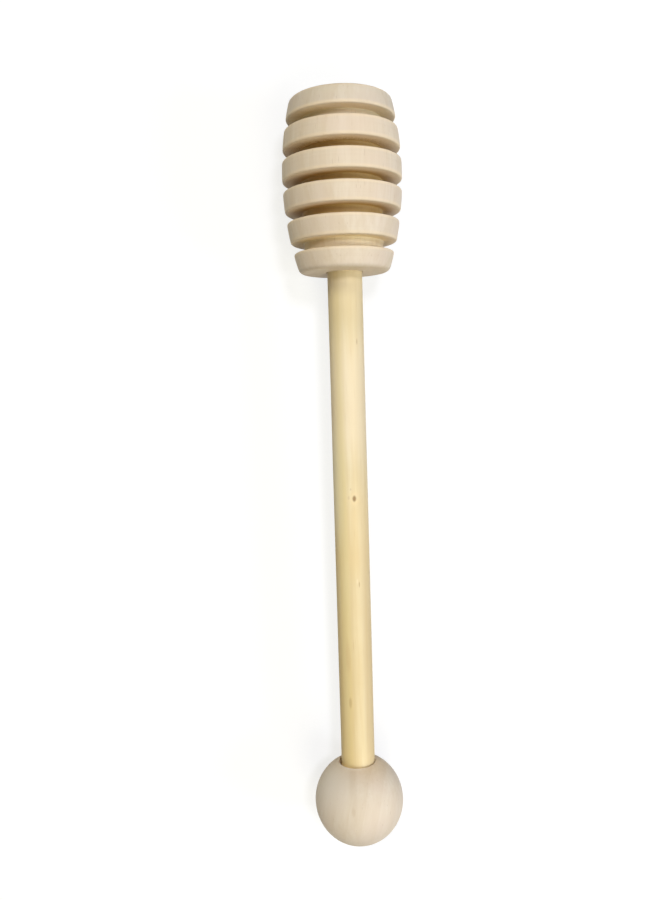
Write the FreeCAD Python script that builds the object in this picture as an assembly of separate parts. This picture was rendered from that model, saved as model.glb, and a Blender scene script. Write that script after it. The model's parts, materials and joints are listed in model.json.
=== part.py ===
import FreeCAD, Part
import math
import os

# A wooden honey dipper lying on a table. A turned head with five grooves and a turned ball are bored
# and glued onto the two ends of a round dowel.
# Lengths are in millimetres. +Z is up and +Y points from the ball to the head. The origin is on the
# table, under the middle of the dipper.
# Every piece is turned, so it is drawn as an outline in radius and place. A place is a distance along
# the turning axis, from the head's end face towards the ball.

# The whole dipper
overall_length = 160.0  # from the head's end face to the far side of the ball

# The head
head_length = 35.0
head_diameter = 25.0  # at the widest place of its barrel
head_widest_place = 15.5
barrel_arc_radius = 64.0  # of the long arc that the rims of the discs follow
groove_count = 5
groove_width = 2.1
groove_depth = 4.2  # from the widest place of the barrel down to the floors of the grooves
groove_floor_round = 0.3
end_disc_thickness = 4.0  # from the end face to the first groove
neck_disc_thickness = 4.0  # from the last groove to the face round the dowel
rim_round = 0.4  # on the edges of the discs beside the grooves
end_round = 0.8  # on the edge of the end face
neck_round = 1.1  # on the edge of the face round the dowel

# The dowel
dowel_diameter = 7.4
dowel_chamfer = 0.6

# The ball
ball_diameter = 19.5

# The sockets and the glue in them
head_socket_clearance = 0.15  # all round the dowel, filled with glue
ball_socket_clearance = 0.3
head_socket_depth = 12.0  # from the face round the dowel to the start of the cone
ball_wood_behind_socket = 6.0  # from the start of the cone to the far side of the ball
socket_chamfer = 0.1  # at the mouth
drill_point_angle = 118.0  # degrees, of the cone at the bottom
glue_pad = 0.6  # between the dowel's end and the start of the cone
glue_setback = 1.2  # from the mouth of a socket down to the glue

# Sizes that follow from those above
head_radius = head_diameter / 2
dowel_radius = dowel_diameter / 2
ball_radius = ball_diameter / 2
groove_floor_radius = head_radius - groove_depth
last_groove_place = head_length - neck_disc_thickness - groove_width
groove_pitch = (last_groove_place - end_disc_thickness) / (groove_count - 1)
barrel_arc_offset = barrel_arc_radius - head_radius  # from the axis across to the arc's centre
ball_place = overall_length - ball_radius
ball_mouth_radius = dowel_radius + ball_socket_clearance + socket_chamfer
ball_mouth_place = ball_place - math.sqrt(ball_radius**2 - ball_mouth_radius**2)

start = FreeCAD.Vector(0, 0, 0)
turning_axis = FreeCAD.Vector(0, 1, 0)
level_axis = FreeCAD.Vector(1, 0, 0)


def spot(radius, place):
    return FreeCAD.Vector(radius, -place, 0)


class Outline:
    # Half of a turned piece's section, drawn edge by edge and then turned about the axis.
    def __init__(self, first):
        self.first = first
        self.last = first
        self.edges = []

    def line(self, *corners):
        for corner in corners:
            self.edges.append(Part.LineSegment(self.last, corner).toShape())
            self.last = corner

    def arc(self, middle, end):
        self.edges.append(Part.Arc(self.last, middle, end).toShape())
        self.last = end

    def turned(self):
        self.line(self.first)
        section = Part.Face(Part.Wire(self.edges))
        return section.revolve(start, turning_axis, 360)


class Socket:
    # A blind hole drilled for the dowel, with the drill's cone at its floor and a chamfer at its mouth.
    # The mouth lies outward of the floor: 1 towards the ball, -1 towards the end face.
    def __init__(self, clearance, floor, mouth, outward):
        self.radius = dowel_radius + clearance
        self.floor = floor
        self.mouth = mouth
        self.outward = outward
        cone_depth = self.radius / math.tan(math.radians(drill_point_angle / 2))
        self.rim = spot(self.radius + socket_chamfer, mouth)
        self.tip = spot(0, floor - outward * cone_depth)
        self.dowel_end = floor + outward * glue_pad

    def draw_from_rim(self, outline):
        outline.line(
            spot(self.radius, self.mouth - self.outward * socket_chamfer),
            spot(self.radius, self.floor),
            self.tip,
        )

    def glue(self):
        # What the drop of glue fills when the dowel is pushed in: the cone, the pad and a sleeve.
        glue_edge = self.mouth - self.outward * glue_setback
        outline = Outline(self.tip)
        outline.line(
            spot(self.radius, self.floor),
            spot(self.radius, glue_edge),
            spot(dowel_radius, glue_edge),
            spot(dowel_radius, self.dowel_end + self.outward * dowel_chamfer),
            spot(dowel_radius - dowel_chamfer, self.dowel_end),
            spot(0, self.dowel_end),
        )
        return outline.turned()


head_socket = Socket(head_socket_clearance, head_length - head_socket_depth, head_length, 1)
ball_socket = Socket(
    ball_socket_clearance, overall_length - ball_wood_behind_socket, ball_mouth_place, -1
)


def barrel_spot(place):
    # The point of the barrel's long arc at a place.
    return spot(math.sqrt(barrel_arc_radius**2 - (place - head_widest_place) ** 2) - barrel_arc_offset, place)


def rounded_edge(wall, inward, rounding):
    # The three points of an arc that rounds the edge between a flat wall and the barrel. The wood lies
    # inward of the wall: 1 towards the ball, -1 towards the end face.
    arc_centre = spot(-barrel_arc_offset, head_widest_place)
    centre_place = wall + inward * rounding
    reach = barrel_arc_radius - rounding
    centre_radius = math.sqrt(reach**2 - (centre_place - head_widest_place) ** 2) - barrel_arc_offset
    centre = spot(centre_radius, centre_place)
    to_wall = turning_axis * inward
    to_barrel = (centre - arc_centre).normalize()
    to_middle = (to_wall + to_barrel).normalize()
    return [centre + direction * rounding for direction in (to_wall, to_middle, to_barrel)]


def draw_barrel_to(outline, end):
    middle_place = -(outline.last.y + end.y) / 2
    outline.arc(barrel_spot(middle_place), end)


def draw_groove(outline, place):
    # Over the edge of one disc, down its wall, along the groove's floor and up the next disc's wall.
    far_wall = place + groove_width
    on_wall, middle, on_barrel = rounded_edge(place, -1, rim_round)
    draw_barrel_to(outline, on_barrel)
    outline.arc(middle, on_wall)
    bend = groove_floor_round * (1 - math.cos(math.radians(45)))
    floor_edge = groove_floor_radius + groove_floor_round
    bend_radius = groove_floor_radius + bend
    outline.line(spot(floor_edge, place))
    outline.arc(spot(bend_radius, place + bend), spot(groove_floor_radius, place + groove_floor_round))
    outline.line(spot(groove_floor_radius, far_wall - groove_floor_round))
    outline.arc(spot(bend_radius, far_wall - bend), spot(floor_edge, far_wall))
    on_wall, middle, on_barrel = rounded_edge(far_wall, 1, rim_round)
    outline.line(on_wall)
    outline.arc(middle, on_barrel)


def dipper_head():
    outline = Outline(start)
    on_wall, middle, on_barrel = rounded_edge(0, 1, end_round)
    outline.line(on_wall)
    outline.arc(middle, on_barrel)
    for number in range(groove_count):
        draw_groove(outline, end_disc_thickness + groove_pitch * number)
    on_wall, middle, on_barrel = rounded_edge(head_length, -1, neck_round)
    draw_barrel_to(outline, on_barrel)
    outline.arc(middle, on_wall)
    outline.line(head_socket.rim)
    head_socket.draw_from_rim(outline)
    return outline.turned()


def handle_dowel():
    head_end = head_socket.dowel_end
    ball_end = ball_socket.dowel_end
    outline = Outline(spot(0, head_end))
    outline.line(
        spot(dowel_radius - dowel_chamfer, head_end),
        spot(dowel_radius, head_end + dowel_chamfer),
        spot(dowel_radius, ball_end - dowel_chamfer),
        spot(dowel_radius - dowel_chamfer, ball_end),
        spot(0, ball_end),
    )
    return outline.turned()


def ball_knob():
    outline = Outline(spot(0, overall_length))
    outline.arc(spot(ball_radius, ball_place), ball_socket.rim)
    ball_socket.draw_from_rim(outline)
    return outline.turned()


def lying_placement(shapes):
    # The table touches the barrel's long arc and the ball, so the axis falls a little towards the ball.
    centre_distance = ball_place - head_widest_place
    steepest = math.hypot(centre_distance, barrel_arc_offset)
    tilt = math.asin((barrel_arc_radius - ball_radius) / steepest)
    tilt -= math.atan2(barrel_arc_offset, centre_distance)
    turn = FreeCAD.Placement(start, FreeCAD.Rotation(level_axis, math.degrees(tilt)))
    tilted = [shape.transformed(turn.toMatrix(), True) for shape in shapes]
    box = Part.makeCompound(tilted).optimalBoundingBox(False, False)
    shift = FreeCAD.Vector(-box.Center.x, -box.Center.y, -box.ZMin)
    return FreeCAD.Placement(shift, turn.Rotation)


pieces = {
    "dipper_head": dipper_head(),
    "handle_dowel": handle_dowel(),
    "ball_knob": ball_knob(),
    "head_glue": head_socket.glue(),
    "knob_glue": ball_socket.glue(),
}
lying = lying_placement(list(pieces.values()))

os.makedirs("parts", exist_ok=True)
for name, piece in pieces.items():
    laid = piece.transformed(lying.toMatrix(), True)
    laid.exportStep(os.path.join("parts", name + ".step"))
    print(name, laid.isValid(), len(laid.Solids), round(laid.Volume, 1))
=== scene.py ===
import json
import math

import bmesh
import bpy
from mathutils import Matrix, Vector, noise


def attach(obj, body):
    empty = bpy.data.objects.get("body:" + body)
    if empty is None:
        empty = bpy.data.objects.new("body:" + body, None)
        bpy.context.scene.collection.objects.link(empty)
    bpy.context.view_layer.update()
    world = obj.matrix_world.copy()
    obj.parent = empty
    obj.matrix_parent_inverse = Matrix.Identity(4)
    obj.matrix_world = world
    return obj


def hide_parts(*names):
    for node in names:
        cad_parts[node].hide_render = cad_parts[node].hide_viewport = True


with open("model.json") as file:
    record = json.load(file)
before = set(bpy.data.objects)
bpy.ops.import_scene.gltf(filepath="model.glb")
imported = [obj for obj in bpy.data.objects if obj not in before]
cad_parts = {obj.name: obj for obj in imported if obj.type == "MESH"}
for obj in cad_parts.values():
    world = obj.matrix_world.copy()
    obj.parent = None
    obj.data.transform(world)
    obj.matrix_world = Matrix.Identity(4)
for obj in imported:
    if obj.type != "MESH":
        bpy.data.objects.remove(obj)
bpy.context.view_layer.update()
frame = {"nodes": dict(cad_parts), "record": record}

print("frame loaded:", ", ".join(sorted(frame["nodes"])))

# Pieces are drawn in millimetres on the turning axis and then laid where the CAD nodes lie.
# z is the place along the axis, from the head's end face to the ball. x is level and y is up.
millimetre = 0.001
headEnd = next(mount for mount in frame["record"]["mounts"] if mount["name"] == "head_end")
endCentre = Vector(headEnd["pos_m"])
toBall = -Vector(headEnd["axis"])
level = Vector((1, 0, 0))
latheTurn = Matrix((level, toBall.cross(level), toBall)).transposed()
fromLathe = Matrix.LocRotScale(endCentre, latheTurn, Vector((millimetre,) * 3))
toLathe = fromLathe.inverted()


def latheReach(node):
    # Largest radius, first place and last place of a CAD node.
    spots = [toLathe @ vertex.co for vertex in frame["nodes"][node].data.vertices]
    places = [spot.z for spot in spots]
    return max(spot.xy.length for spot in spots), min(places), max(places)


headRadius, _, headLength = latheReach("dipper_head")
dowelRadius, dowelStart, dowelEnd = latheReach("handle_dowel")
ballRadius, ballMouth, ballEnd = latheReach("ball_knob")
ballPlace = ballEnd - ballRadius


# Shader nodes

class Sock:
    # A node's output. Sums and products of these add Math nodes.
    def __init__(self, tree, socket):
        self.tree = tree
        self.socket = socket

    def maths(self, operation, *terms):
        return self.tree.node("Math", {"operation": operation}, dict(enumerate(terms)))

    def __add__(self, other):
        return self.maths("ADD", self, other)

    def __radd__(self, other):
        return self.maths("ADD", other, self)

    def __sub__(self, other):
        return self.maths("SUBTRACT", self, other)

    def __rsub__(self, other):
        return self.maths("SUBTRACT", other, self)

    def __mul__(self, other):
        return self.maths("MULTIPLY", self, other)

    def __rmul__(self, other):
        return self.maths("MULTIPLY", other, self)

    def __truediv__(self, other):
        return self.maths("DIVIDE", self, other)

    def __rtruediv__(self, other):
        return self.maths("DIVIDE", other, self)


class NodeTree:
    # The nodes of a material or a world.
    def __init__(self, owner):
        owner.use_nodes = True
        self.owner = owner
        self.tree = owner.node_tree

    def feed(self, made, inputs):
        for name, value in inputs.items():
            if isinstance(value, Sock):
                self.tree.links.new(value.socket, made.inputs[name])
            else:
                made.inputs[name].default_value = value

    def node(self, kind, settings, inputs, output=0):
        made = self.tree.nodes.new("ShaderNode" + kind)
        for name, setting in settings.items():
            setattr(made, name, setting)
        self.feed(made, inputs)
        return Sock(self, made.outputs[output])

    def between(self, value, low, high):
        # 0 below low, 1 above high and a smooth step from one to the other.
        inputs = {"Value": value, "From Min": low, "From Max": high}
        return self.node("MapRange", {"interpolation_type": "SMOOTHSTEP"}, inputs)

    def within(self, value, low, high):
        # 1 from low to high and 0 elsewhere.
        return value.maths("GREATER_THAN", value, low) * value.maths("LESS_THAN", value, high)

    def vector(self, operation, first, second=(0, 0, 0), output="Vector"):
        return self.node("VectorMath", {"operation": operation}, {0: first, 1: second}, output)

    def length(self, vector):
        return self.vector("LENGTH", vector, output="Value")

    def noise(self, vector, scale, detail=2.0, roughness=0.5, output="Fac"):
        inputs = {"Vector": vector, "Scale": scale, "Detail": detail, "Roughness": roughness}
        return self.node("TexNoise", {}, inputs, output)

    def mix(self, share, first, second, blend="MIX"):
        # A Mix node's colours are its inputs 6 and 7 and its output 2.
        settings = {"data_type": "RGBA", "blend_type": blend}
        return self.node("Mix", settings, {0: share, 6: first, 7: second}, 2)

    def lathePlace(self):
        # Millimetres in the lathe's directions, from the middle of the head's end face.
        here = self.node("TexCoord", {}, {}, "Object")
        inputs = {"Vector": here, "Location": endCentre, "Rotation": latheTurn.to_euler()}
        inputs["Scale"] = (millimetre,) * 3
        return self.node("Mapping", {"vector_type": "TEXTURE"}, inputs)


def tone(*levels):
    # A linear colour from the three levels, 0 to 255, that a colour picker shows.
    shares = [value / 255 for value in levels]
    linear = [s / 12.92 if s <= 0.04045 else ((s + 0.055) / 1.055) ** 2.4 for s in shares]
    return (*linear, 1.0)


# Wood

noiseMean = 0.5  # noise varies to both sides of this

woodSurface = {
    "fibreScale": 1.5,  # fibres to a millimetre across the grain
    "fibreNoise": (5, 0.62),  # detail and roughness of the noise, here and below
    "streakScale": 0.375,
    "streakNoise": (3, 0.55),
    "blotchScale": 0.09,
    "blotchNoise": (3, 0.55),
    "blotchEdge": (0.35, 0.7),
    "toolScale": 1.6,  # lathe lines to a millimetre
    "toolNoise": (3, 0.6),
    "poreScale": 2.4,
    "poreEdge": (0.05, 0.2),
    "poreChoice": (0.45, 0.6),  # only some of the cells hold a pore
    "lateWood": (0.3, 0.93),  # of a growth ring, where its darker wood starts and is darkest
    "endGrainFacing": (0.55, 0.97),
    "upperSide": (0.0, 1.0),  # above the axis, where marks start and are whole
    "markFade": (0.3, 1.0),  # from a mark's middle to its edge, where it starts to fade and is gone
    "fibreHeight": 0.5,
    "streakHeight": 0.3,
    "poreDepth": 0.5,
    "bumpDepth": 0.00006,  # metres
    "bumpStrength": 0.5,
    "roughness": 0.58,
    "roughnessSpread": 0.22,
    "poreRoughness": 0.1,
    "specular": 0.3,
}


class Wood(NodeTree):
    # Bare turned wood: growth rings round a pith beside the piece, fibres, pores and lathe lines.
    def __init__(self, name, look):
        super().__init__(bpy.data.materials.new(name))
        surface = woodSurface
        self.spot = self.lathePlace()
        self.radius = self.length(self.vector("MULTIPLY", self.spot, (1, 1, 0)))
        self.place = self.node("SeparateXYZ", {}, {0: self.spot}, "Z")
        grain = self.node("Mapping", {}, {0: self.spot, "Location": look["pith"], "Rotation": look["tilt"]})
        fibres = self.vector("MULTIPLY", grain, (1, 1, 1 / look["fibreLength"]))

        # growth rings, which sway along the grain
        sway = self.noise(fibres, look["swayScale"], output="Color")
        sway = self.vector("MULTIPLY", sway, (look["sway"], look["sway"], 0))
        rings = self.vector("MULTIPLY", self.vector("ADD", grain, sway), (1, 1, 0))
        rings = self.length(rings) / look["ringWidth"]
        rings = rings.maths("FRACT", rings)
        lateStart, lateEnd = surface["lateWood"]
        lateWood = self.between(rings, lateStart, lateEnd) * (1 - self.between(rings, lateEnd, 1))

        # fibres, blotches and pores
        fibre = self.noise(fibres, surface["fibreScale"], *surface["fibreNoise"])
        streak = self.noise(fibres, surface["streakScale"], *surface["streakNoise"])
        blotch = self.noise(self.spot, surface["blotchScale"], *surface["blotchNoise"])
        blotch = self.between(blotch, *surface["blotchEdge"])
        cells = {"Vector": fibres, "Scale": surface["poreScale"]}
        nearPore = self.node("TexVoronoi", {}, cells, "Distance")
        chosen = self.node("SeparateColor", {}, {0: self.node("TexVoronoi", {}, cells, "Color")}, 0)
        pore = 1 - self.between(nearPore, *surface["poreEdge"])
        pore = pore * self.between(chosen, *surface["poreChoice"])

        # end grain shows where the surface faces along the axis
        facing = self.vector("DOT_PRODUCT", self.node("NewGeometry", {}, {}, "Normal"), toBall, "Value")
        self.endGrain = self.between(facing.maths("ABSOLUTE", facing), *surface["endGrainFacing"])

        # lathe lines run round the piece
        toolLine = self.node("CombineXYZ", {}, {2: (self.place + self.radius) * surface["toolScale"]})
        toolLine = self.noise(toolLine, 1, *surface["toolNoise"])

        fibreTone = (fibre - noiseMean) * look["fibreShare"]
        streakTone = (streak - noiseMean) * look["streakShare"]
        depth = self.between(noiseMean + fibreTone + streakTone, 0, 1)
        colour = self.mix(depth, look["pale"], look["deep"])
        colour = self.mix(blotch * look["blotchShare"], colour, look["blotch"])
        colour = self.mix(lateWood * look["ringShare"], colour, look["ring"])
        colour = self.mix(pore * look["poreShare"], colour, look["poreTint"])
        toolTone = (toolLine - noiseMean) * (1 - blotch) * look["toolShare"]
        colour = self.mix(toolTone, colour, look["poreTint"])
        self.colour = self.mix(self.endGrain * look["endShare"], colour, look["end"], "MULTIPLY")

        self.height = fibre * surface["fibreHeight"] + streak * surface["streakHeight"]
        self.height = self.height - pore * surface["poreDepth"] + toolLine * look["toolHeight"]
        self.roughness = surface["roughness"] + (fibre - noiseMean) * surface["roughnessSpread"]
        self.roughness = self.roughness + pore * surface["poreRoughness"]

    def addMarks(self, marks):
        # Ovals on the upper side: across, place, half width, half length, tone and share.
        surface = woodSurface
        upper = self.between(self.node("SeparateXYZ", {}, {0: self.spot}, "Y"), *surface["upperSide"])
        for across, place, width, length, mark, share in marks:
            away = self.vector("SUBTRACT", self.spot, (across, 0, place))
            away = self.length(self.vector("MULTIPLY", away, (1 / width, 0, 1 / length)))
            inMark = 1 - self.between(away, *surface["markFade"])
            self.colour = self.mix(upper * inMark * share, self.colour, mark)

    def finished(self):
        surface = woodSurface
        bump = self.node("Bump", {}, {
            "Height": self.height,
            "Distance": surface["bumpDepth"],
            "Strength": surface["bumpStrength"],
        })
        self.feed(self.tree.nodes["Principled BSDF"], {
            "Base Color": self.colour,
            "Roughness": self.roughness,
            "Normal": bump,
            "Specular IOR Level": surface["specular"],
        })
        return self.owner


# Turning

turning = {
    "mergeDistance": 0.0005,
    "sharpAngle": 42.0,  # degrees, past which an edge is drawn sharp
}


def drawOutline(bm, corners, roundSteps=1):
    # Corners are radius, place and rounding, joined by straight edges from axis to axis.
    spots = [bm.verts.new((radius, 0, place)) for radius, place, rounding in corners]
    for first, second in zip(spots, spots[1:]):
        bm.edges.new((first, second))
    for spot, (radius, place, rounding) in zip(spots, corners):
        if rounding:
            arms = [edge.other_vert(spot).co - spot.co for edge in spot.link_edges]
            reach = rounding / math.tan(arms[0].angle(arms[1]) / 2)
            bmesh.ops.bevel(bm, geom=[spot], offset=reach, offset_type="OFFSET", affect="VERTICES",
                            segments=roundSteps, profile=0.5, material=-1)


def divideOutline(bm, step, settle=None):
    # No edge stays longer than a step. settle moves the new vertices of an edge onto a curve.
    for edge in bm.edges[:]:
        ends = [spot.co.copy() for spot in edge.verts]
        cuts = int(edge.calc_length() / step)
        if cuts:
            made = bmesh.ops.subdivide_edges(bm, edges=[edge], cuts=cuts)
            if settle:
                for spot in [item for item in made["geom_inner"] if isinstance(item, bmesh.types.BMVert)]:
                    settle(spot, *ends)


def turnOutline(bm, steps):
    bmesh.ops.spin(bm, geom=bm.verts[:] + bm.edges[:], cent=(0, 0, 0), axis=(0, 0, 1),
                   angle=math.tau, steps=steps, use_merge=True)
    bmesh.ops.remove_doubles(bm, verts=bm.verts, dist=turning["mergeDistance"])
    bmesh.ops.recalc_face_normals(bm, faces=bm.faces)


def coneDepth(bore, pointAngle):
    # Of the cone that a drill leaves at the bottom of its hole.
    return bore / math.tan(math.radians(pointAngle / 2))


def pressIn(spot, depth):
    # Moves a vertex towards the axis.
    across = Vector((spot.co.x, spot.co.y, 0))
    if across.length > depth:
        spot.co -= across.normalized() * depth


def uneven(spot, size, seed):
    # 0 to 1, varying smoothly over that many millimetres.
    return (1 + noise.noise(spot.co / size + Vector((seed, 0, 0)))) / 2


def makePiece(name, bm, node, material):
    bmesh.ops.transform(bm, matrix=fromLathe, verts=bm.verts)
    mesh = bpy.data.meshes.new(name)
    bm.to_mesh(mesh)
    bm.free()
    mesh.shade_smooth()
    mesh.set_sharp_from_angle(angle=math.radians(turning["sharpAngle"]))
    mesh.materials.append(material)
    piece = bpy.data.objects.new(name, mesh)
    bpy.context.scene.collection.objects.link(piece)
    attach(piece, "root")
    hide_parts(node)
    print(name, "made,", len(mesh.polygons), "faces")


# Head

head = {
    "widestPlace": 15.5,
    "barrelArc": 64.0,  # radius of the long arc that the rims of the discs follow
    "grooves": 5,
    "grooveWidth": 2.1,
    "grooveDepth": 4.2,
    "endDisc": 4.0,
    "neckDisc": 4.0,
    "endRound": 0.8,
    "rimRound": 0.4,
    "floorRound": 0.3,
    "neckRound": 1.1,
    "leastRim": 1.0,  # every rim stands at least this far above the groove floors
    "socketClearance": 0.15,
    "socketDepth": 12.0,
    "socketChamfer": 0.1,
    "socketSlack": 0.01,  # what lies this near to the hole belongs to it
    "drillPoint": 118.0,  # degrees, of the cone at the bottom of the hole
    "roundSteps": 4,
    "step": 0.55,
    "turnSteps": 240,
    "outOfRound": 0.05,
    "outOfRoundNoise": (14.0, 3.1),  # size and seed
    "rimWear": 0.10,
    "rimWearNoise": (1.1, 8.4),
    "rimWearShare": 0.4,  # of the noise's range, from its top
    "look": {
        "pith": (9.0, 26.0, 0.0),
        "tilt": (0.05, 0.03, 0.0),
        "fibreLength": 14.0,
        "swayScale": 0.10,
        "sway": 2.4,
        "ringWidth": 2.6,
        "pale": tone(242, 228, 208),
        "deep": tone(229, 211, 185),
        "blotch": tone(233, 212, 194),
        "ring": tone(220, 198, 166),
        "poreTint": tone(176, 142, 103),
        "end": tone(252, 248, 240),
        "fibreShare": 0.8,
        "streakShare": 0.7,
        "blotchShare": 0.5,
        "ringShare": 0.22,
        "poreShare": 0.28,
        "toolShare": 0.45,
        "toolHeight": 0.6,
        "endShare": 0.7,
    },
    "endDiscTint": tone(243, 246, 248),
    "edgeHighlightTint": tone(254, 231, 196),  # a painted highlight along the edges of the discs, warmer
    "edgeHighlightReach": (0.15, 0.95),  # from the edge, where that tint fades out
    "edgeHighlightRise": (1.2, 1.6),  # above the groove floors, where it starts
    "edgeHighlightShare": 0.55,
    "edgeHighlightPatchScale": 0.7,
    "edgeHighlightPatchLeast": 0.4,
    "grooveShadeTint": tone(209, 188, 134),  # painted shade, low in the three middle grooves
    "outerGrooveShadeTint": tone(249, 247, 226),  # fainter painted shade, low in the first and the last
    "grooveShadeRise": (0.3, 3.2),  # the painted shade fades out up the walls
}
grooveFloor = headRadius - head["grooveDepth"]
lastGroove = headLength - head["neckDisc"] - head["grooveWidth"]
groovePitch = (lastGroove - head["endDisc"]) / (head["grooves"] - 1)
headBore = dowelRadius + head["socketClearance"]
headBoreMouth = headBore + head["socketChamfer"]
headBoreFloor = headLength - head["socketDepth"]


def barrelRadius(place):
    arc = head["barrelArc"]
    return math.sqrt(arc**2 - (place - head["widestPlace"]) ** 2) - arc + headRadius


def headCorners():
    corners = [(0, 0, 0), (barrelRadius(0), 0, head["endRound"])]
    for number in range(head["grooves"]):
        near = head["endDisc"] + groovePitch * number
        far = near + head["grooveWidth"]
        corners += [
            (barrelRadius(near), near, head["rimRound"]),
            (grooveFloor, near, head["floorRound"]),
            (grooveFloor, far, head["floorRound"]),
            (barrelRadius(far), far, head["rimRound"]),
        ]
    return corners + [
        (barrelRadius(headLength), headLength, head["neckRound"]),
        (headBoreMouth, headLength, 0),
        (headBore, headLength - head["socketChamfer"], 0),
        (headBore, headBoreFloor, 0),
        (0, headBoreFloor - coneDepth(headBore, head["drillPoint"]), 0),
    ]


def settleOnBarrel(spot, start, end):
    alongAxis = abs(end.z - start.z) > abs(end.x - start.x)
    if alongAxis and min(start.x, end.x) > grooveFloor + head["leastRim"]:
        spot.co.x = barrelRadius(spot.co.z)


def wearHead(bm):
    # Not quite round, with spots worn off the rounded edges of the discs. The hole stays as drilled.
    unworn = 1 - head["rimWearShare"]
    for spot in bm.verts:
        across = spot.co.xy.length
        nearHole = across < headBoreMouth + head["socketSlack"]
        if nearHole and spot.co.z > headBoreFloor - headBore:
            continue
        pressIn(spot, head["outOfRound"] * uneven(spot, *head["outOfRoundNoise"]))
        toRim = across - barrelRadius(min(max(spot.co.z, 0), headLength)) + head["rimRound"]
        if toRim > 0:
            worn = max(0, uneven(spot, *head["rimWearNoise"]) - unworn) / head["rimWearShare"]
            onEdge = max(0, 1 - toRim / head["rimRound"])
            pressIn(spot, head["rimWear"] * worn * onEdge)


def headWood():
    wood = Wood("headWood", head["look"])
    firstDisc = 1 - wood.between(wood.place, head["endDisc"], head["endDisc"] + head["grooveWidth"])
    wood.colour = wood.mix(firstDisc, wood.colour, head["endDiscTint"], "MULTIPLY")

    # a painted highlight along the edges of the discs
    along = wood.place - head["endDisc"]
    along = along - groovePitch * along.maths("FLOOR", along / groovePitch)  # past the start of a groove
    toNextDisc = along - head["grooveWidth"]
    toNextDisc = toNextDisc.maths("ABSOLUTE", toNextDisc)
    toEdge = along.maths("MINIMUM", toNextDisc, groovePitch - along)
    nearEdge = (1 - wood.between(toEdge, *head["edgeHighlightReach"])) * (1 - wood.endGrain)
    patches = head["edgeHighlightPatchLeast"] + wood.noise(wood.spot, head["edgeHighlightPatchScale"])
    onRim = wood.between(wood.radius, *[grooveFloor + rise for rise in head["edgeHighlightRise"]])
    wood.colour = wood.mix(nearEdge * onRim * patches * head["edgeHighlightShare"], wood.colour, head["edgeHighlightTint"])

    # painted shade on the floors and low walls of the grooves
    firstWall = head["endDisc"]
    lastWall = headLength - head["neckDisc"]
    inGroove = wood.within(wood.place, firstWall, lastWall)
    inMiddle = wood.within(wood.place, firstWall + groovePitch, lastWall - groovePitch)
    tint = wood.mix(inMiddle, head["outerGrooveShadeTint"], head["grooveShadeTint"])
    upWall = wood.between(wood.radius, *[grooveFloor + rise for rise in head["grooveShadeRise"]])
    wood.colour = wood.mix(inGroove * (1 - upWall), wood.colour, tint, "MULTIPLY")
    return wood.finished()


def dipperHead():
    bm = bmesh.new()
    drawOutline(bm, headCorners(), head["roundSteps"])
    divideOutline(bm, head["step"], settleOnBarrel)
    turnOutline(bm, head["turnSteps"])
    wearHead(bm)
    makePiece("turnedHead", bm, "dipper_head", headWood())


# Dowel

dowel = {
    "chamfer": 0.6,
    "step": 0.42,
    "turnSteps": 96,
    "outOfRound": 0.06,
    "outOfRoundNoise": (20.0, 5.7),  # size and seed
    "look": {
        "pith": (-5.0, 9.0, 0.0),
        "tilt": (0.02, -0.015, 0.0),
        "fibreLength": 26.0,
        "swayScale": 0.16,
        "sway": 2.0,
        "ringWidth": 1.9,
        "pale": tone(253, 239, 204),
        "deep": tone(235, 213, 163),
        "blotch": tone(236, 213, 165),
        "ring": tone(226, 200, 146),
        "poreTint": tone(196, 156, 100),
        "end": tone(220, 188, 140),
        "fibreShare": 0.8,
        "streakShare": 0.9,
        "blotchShare": 0.4,
        "ringShare": 0.24,
        "poreShare": 0.3,
        "toolShare": 0.05,
        "toolHeight": 0.15,
        "endShare": 0.6,
    },
    "stretches": [  # middle place, half length, tone and share
        # the first darkens the dowel just below the head's neck, painted shade
        (41.0, 11.0, tone(226, 206, 162), 0.5),
        (62.0, 18.0, tone(255, 237, 206), 0.6),
        (90.0, 14.0, tone(246, 217, 160), 0.4),
        (122.0, 36.0, tone(238, 208, 146), 0.3),
    ],
    "grain": [  # across, place, half width, half length, tone and share; the side marks are painted light and shade
        (-2.3, 126.0, 2.0, 42.0, tone(238, 205, 130), 0.4),  # golden along one side, painted shade
        (-2.9, 80.0, 1.7, 17.0, tone(255, 243, 208), 0.7),  # paler before and beside it, painted light
        (-1.9, 95.0, 1.5, 75.0, tone(255, 237, 180), 0.5),
        (2.9, 90.0, 2.3, 80.0, tone(212, 190, 150), 0.32),  # darker along the other side, painted shade
        (3.0, 126.0, 1.9, 46.0, tone(222, 197, 150), 0.6),
    ],
    "knot": {
        "across": 0.62,
        "place": 82.5,
        "width": 0.5,
        "length": 0.85,
        "depth": 0.09,
        "marks": [  # half width, half length, tone and share
            (1.4, 2.0, tone(255, 230, 184), 0.4),
            (0.56, 0.92, tone(140, 104, 56), 0.8),
        ],
    },
    "flecks": [  # as the grain
        (-0.1, 80.5, 0.24, 0.4, tone(160, 118, 70), 0.2),
        (-0.55, 82.3, 0.3, 0.6, tone(160, 118, 70), 0.14),
        (-1.4, 127.0, 0.45, 1.7, tone(160, 112, 62), 0.26),
        (-1.6, 117.0, 0.8, 5.0, tone(196, 138, 98), 0.14),
        (2.05, 49.6, 0.22, 0.9, tone(168, 126, 78), 0.3),
        (1.2, 101.0, 0.18, 0.9, tone(188, 150, 100), 0.5),
        (0.8, 100.3, 0.24, 0.8, tone(255, 236, 200), 0.6),
    ],
}


def dowelCorners():
    chamfer = dowel["chamfer"]
    return [
        (0, dowelStart, 0),
        (dowelRadius - chamfer, dowelStart, 0),
        (dowelRadius, dowelStart + chamfer, 0),
        (dowelRadius, dowelEnd - chamfer, 0),
        (dowelRadius - chamfer, dowelEnd, 0),
        (0, dowelEnd, 0),
    ]


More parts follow.
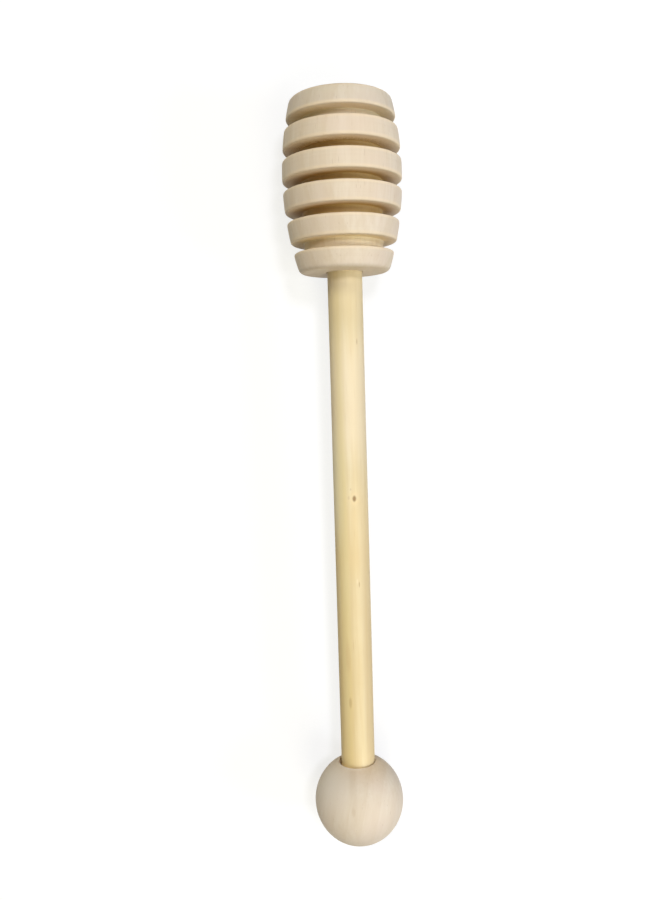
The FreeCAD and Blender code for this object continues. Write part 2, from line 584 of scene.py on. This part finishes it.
def wearDowel(bm):
    # Not quite round, with the dimple of a knot on top.
    knot = dowel["knot"]
    for spot in bm.verts:
        dimple = 0
        if spot.co.y > 0:
            across = (spot.co.x - knot["across"]) / knot["width"]
            along = (spot.co.z - knot["place"]) / knot["length"]
            dimple = knot["depth"] * max(0, 1 - math.hypot(across, along))
        pressIn(spot, dowel["outOfRound"] * uneven(spot, *dowel["outOfRoundNoise"]) + dimple)


def dowelWood():
    wood = Wood("dowelWood", dowel["look"])
    for place, length, stretch, share in dowel["stretches"]:
        away = wood.place - place
        fade = [length * part for part in woodSurface["markFade"]]
        near = 1 - wood.between(away.maths("ABSOLUTE", away), *fade)
        wood.colour = wood.mix(near * share, wood.colour, stretch)
    knot = dowel["knot"]
    knotMarks = [(knot["across"], knot["place"], *mark) for mark in knot["marks"]]
    wood.addMarks(dowel["grain"] + knotMarks + dowel["flecks"])
    return wood.finished()


def handleDowel():
    bm = bmesh.new()
    drawOutline(bm, dowelCorners())
    divideOutline(bm, dowel["step"])
    turnOutline(bm, dowel["turnSteps"])
    wearDowel(bm)
    makePiece("roundDowel", bm, "handle_dowel", dowelWood())


# Ball

ball = {
    "socketClearance": 0.3,
    "socketChamfer": 0.1,
    "socketSlack": 0.01,  # what lies this near to the hole belongs to it
    "socketAside": (-0.24, 0.12, 0.0),  # the hole was drilled a little off the middle
    "drillPoint": 118.0,  # degrees, of the cone at the bottom of the hole
    "woodBehindSocket": 6.0,
    "step": 0.5,
    "arcSteps": 72,
    "turnSteps": 160,
    "outOfRound": 0.06,
    "outOfRoundNoise": (9.0, 1.9),  # size and seed
    "look": {
        "pith": (14.0, 16.0, 0.0),
        "tilt": (0.12, 0.2, 0.0),
        "fibreLength": 11.0,
        "swayScale": 0.10,
        "sway": 2.2,
        "ringWidth": 3.1,
        "pale": tone(240, 227, 209),
        "deep": tone(229, 212, 189),
        "blotch": tone(233, 213, 198),
        "ring": tone(218, 197, 168),
        "poreTint": tone(176, 146, 110),
        "end": tone(250, 238, 216),
        "fibreShare": 0.8,
        "streakShare": 0.7,
        "blotchShare": 0.5,
        "ringShare": 0.18,
        "poreShare": 0.35,
        "toolShare": 0.08,
        "toolHeight": 0.3,
        "endShare": 0.6,
    },
    "patches": [  # middle, reach, tone and share: paler on the upper left near the hole and darker towards the far end, painted light and shade
        ((-7.5, 5.0, 143.0), 11.0, tone(253, 242, 228), 0.9),
        ((3.0, 5.0, 158.0), 12.0, tone(216, 203, 184), 0.55),
    ],
    "grain": [  # across, place, half width, half length, tone and share
        (-1.4, 145.0, 1.2, 9.0, tone(208, 186, 156), 0.2),  # a darker streak with a fleck
        (-1.5, 148.4, 0.6, 1.3, tone(196, 168, 132), 0.22),
    ],
}
ballBore = dowelRadius + ball["socketClearance"]
ballBoreMouth = ballBore + ball["socketChamfer"]
ballBoreFloor = ballEnd - ball["woodBehindSocket"]


def drawBall(bm):
    # Round from the far side to the mouth of the hole, and then into the hole.
    pole = bm.verts.new((0, 0, ballEnd))
    mouthAngle = math.pi - math.asin(ballBoreMouth / ballRadius)
    bmesh.ops.spin(bm, geom=[pole], cent=(0, 0, ballPlace), axis=(0, 1, 0), angle=mouthAngle,
                   steps=ball["arcSteps"])
    last = min(bm.verts, key=lambda spot: spot.co.z)
    inner = [
        (ballBore, ballMouth + ball["socketChamfer"]),
        (ballBore, ballBoreFloor),
        (0, ballBoreFloor + coneDepth(ballBore, ball["drillPoint"])),
    ]
    for radius, place in inner:
        spot = bm.verts.new((radius, 0, place))
        bm.edges.new((last, spot))
        last = spot


def wearBall(bm):
    # Not quite round, with its hole off the middle.
    for spot in bm.verts:
        nearHole = spot.co.xy.length < ballBoreMouth + ball["socketSlack"]
        if nearHole and spot.co.z < ballBoreFloor + ballBore:
            spot.co += Vector(ball["socketAside"])
        else:
            away = spot.co - Vector((0, 0, ballPlace))
            spot.co -= away.normalized() * ball["outOfRound"] * uneven(spot, *ball["outOfRoundNoise"])


def ballWood():
    wood = Wood("knobWood", ball["look"])
    for middle, reach, patch, share in ball["patches"]:
        away = wood.length(wood.vector("SUBTRACT", wood.spot, middle)) / reach
        wood.colour = wood.mix((1 - wood.between(away, 0, 1)) * share, wood.colour, patch)
    wood.addMarks(ball["grain"])
    return wood.finished()


def ballKnob():
    bm = bmesh.new()
    drawBall(bm)
    divideOutline(bm, ball["step"])
    turnOutline(bm, ball["turnSteps"])
    wearBall(bm)
    makePiece("turnedBall", bm, "ball_knob", ballWood())


# Glue, which keeps the CAD shape

glue = {
    "clear": tone(190, 152, 92),
    "dark": tone(142, 104, 56),
    "cloudScale": 1.3,
    "cloudNoise": (3, 0.6),  # detail and roughness
    "roughness": 0.35,
    "roughnessSpread": 0.2,
}


def gluedSockets():
    cured = NodeTree(bpy.data.materials.new("curedGlue"))
    cloud = cured.noise(cured.lathePlace(), glue["cloudScale"], *glue["cloudNoise"])
    cured.feed(cured.tree.nodes["Principled BSDF"], {
        "Base Color": cured.mix(cloud, glue["clear"], glue["dark"]),
        "Roughness": glue["roughness"] + cloud * glue["roughnessSpread"],
    })
    for node in ("head_glue", "knob_glue"):
        mesh = frame["nodes"][node].data
        mesh.materials.clear()
        mesh.materials.append(cured.owner)
    print("glue finished")


# Floor and light, in metres

studio = {
    "floorSize": 1.6,
    "floorTone": (0.34, 0.34, 0.34, 1.0),
    "floorWhite": 0.73,  # of the white that the camera sees, the rest is lit and takes the shadow
    "shadowReach": (0.25, 0.6),  # from the middle, where the floor fades to plain white
    "skyTint": (1.0, 0.97, 0.88, 1.0),
    "skyStrength": 0.10,
    "skySeen": (1.0, 1.0, 1.0, 1.0),  # what the camera sees of it
    "lamps": {
        "keyLamp": {"place": (0.26, 0.36, 1.20), "size": 0.2, "power": 4.8, "tint": (0.985, 1.0, 1.18)},
        "frontLamp": {"place": (0.24, -0.58, 0.84), "size": 0.5, "power": 3.6, "tint": (1.05, 1.0, 0.78)},
        "sideLamp": {"place": (0.94, -0.22, 0.55), "size": 0.3, "power": 4.0, "tint": (0.93, 1.0, 1.08)},
        "backLamp": {"place": (-0.50, 0.80, 0.90), "size": 0.4, "power": 4.5, "tint": (1.05, 1.0, 0.72)},
    },
}


def seenDirectly(tree):
    # 1 where the camera sees a surface, also through glass or in a polished face.
    seen = tree.node("LightPath", {}, {}, "Is Camera Ray")
    for ray in ("Is Glossy Ray", "Is Transmission Ray"):
        seen = seen.maths("MAXIMUM", seen, tree.node("LightPath", {}, {}, ray))
    return seen


def floorPaint():
    paint = NodeTree(bpy.data.materials.new("floorPaint"))
    plain = paint.node("BsdfDiffuse", {}, {"Color": studio["floorTone"]}, "BSDF")
    glow = paint.node("Emission", {}, {"Strength": studio["floorWhite"]}, "Emission")
    lit = paint.node("AddShader", {}, {0: plain, 1: glow})
    white = paint.node("Emission", {}, {"Strength": 1.0}, "Emission")
    fromMiddle = paint.length(paint.node("TexCoord", {}, {}, "Object"))
    far = paint.between(fromMiddle, *studio["shadowReach"])
    shown = paint.node("MixShader", {}, {0: far, 1: lit, 2: white})
    shown = paint.node("MixShader", {}, {0: seenDirectly(paint), 1: plain, 2: shown})
    paint.feed(paint.tree.nodes["Material Output"], {"Surface": shown})
    return paint.owner


def paleFloor():
    bm = bmesh.new()
    bmesh.ops.create_grid(bm, x_segments=1, y_segments=1, size=studio["floorSize"])
    mesh = bpy.data.meshes.new("floor")
    bm.to_mesh(mesh)
    bm.free()
    mesh.materials.append(floorPaint())
    floor = bpy.data.objects.new("floor", mesh)
    bpy.context.scene.collection.objects.link(floor)


def paleSky():
    world = bpy.data.worlds.new("studioWorld")
    bpy.context.scene.world = world
    sky = NodeTree(world)
    seen = seenDirectly(sky)
    colour = sky.mix(seen, studio["skyTint"], studio["skySeen"])
    strength = studio["skyStrength"] + seen * (1 - studio["skyStrength"])
    sky.feed(sky.tree.nodes["Background"], {"Color": colour, "Strength": strength})


def softLamps():
    for name, values in studio["lamps"].items():
        light = bpy.data.lights.new(name, "AREA")
        light.energy = values["power"]
        light.size = values["size"]
        light.color = values["tint"]
        lamp = bpy.data.objects.new(name, light)
        lamp.location = values["place"]
        lamp.rotation_euler = (-lamp.location).to_track_quat("-Z", "Y").to_euler()  # at the dipper
        bpy.context.scene.collection.objects.link(lamp)


def studioStage():
    paleFloor()
    paleSky()
    softLamps()
    bpy.context.scene.view_settings.view_transform = "Standard"
    print("stage and light ready")


# Camera

photo = {
    "lens": 32.0,
    "sensor": 36.0,
    "clipStart": 0.01,  # metres
    "distance": 171.6,  # from the lens to the dowel, in millimetres like the next two
    "place": 72.46,  # where the view crosses the axis
    "aside": 4.2,  # of the dowel from the middle of the view
    "lean": 3.7,  # degrees from straight down
    "roll": 1.72,
}


def photoCamera():
    lean = math.radians(photo["lean"])
    roll = math.radians(photo["roll"])
    forward = Vector((0, -math.sin(lean), -math.cos(lean)))
    upright = Vector((0, math.cos(lean), -math.sin(lean)))
    up = upright * math.cos(roll) + forward.cross(upright) * math.sin(roll)
    right = forward.cross(up)
    turn = Matrix((right, up, -forward)).transposed()
    crossing = endCentre + toBall * photo["place"] * millimetre
    lens = crossing - forward * photo["distance"] * millimetre - right * photo["aside"] * millimetre
    data = bpy.data.cameras.new("photoCamera")
    data.lens = photo["lens"]
    data.sensor_width = photo["sensor"]
    data.clip_start = photo["clipStart"]
    camera = bpy.data.objects.new("photoCamera", data)
    camera.matrix_world = Matrix.LocRotScale(lens, turn, None)
    bpy.context.scene.collection.objects.link(camera)
    bpy.context.scene.camera = camera
    print("camera at", [round(x, 4) for x in lens])


dipperHead()
handleDowel()
ballKnob()
gluedSockets()
studioStage()
photoCamera()
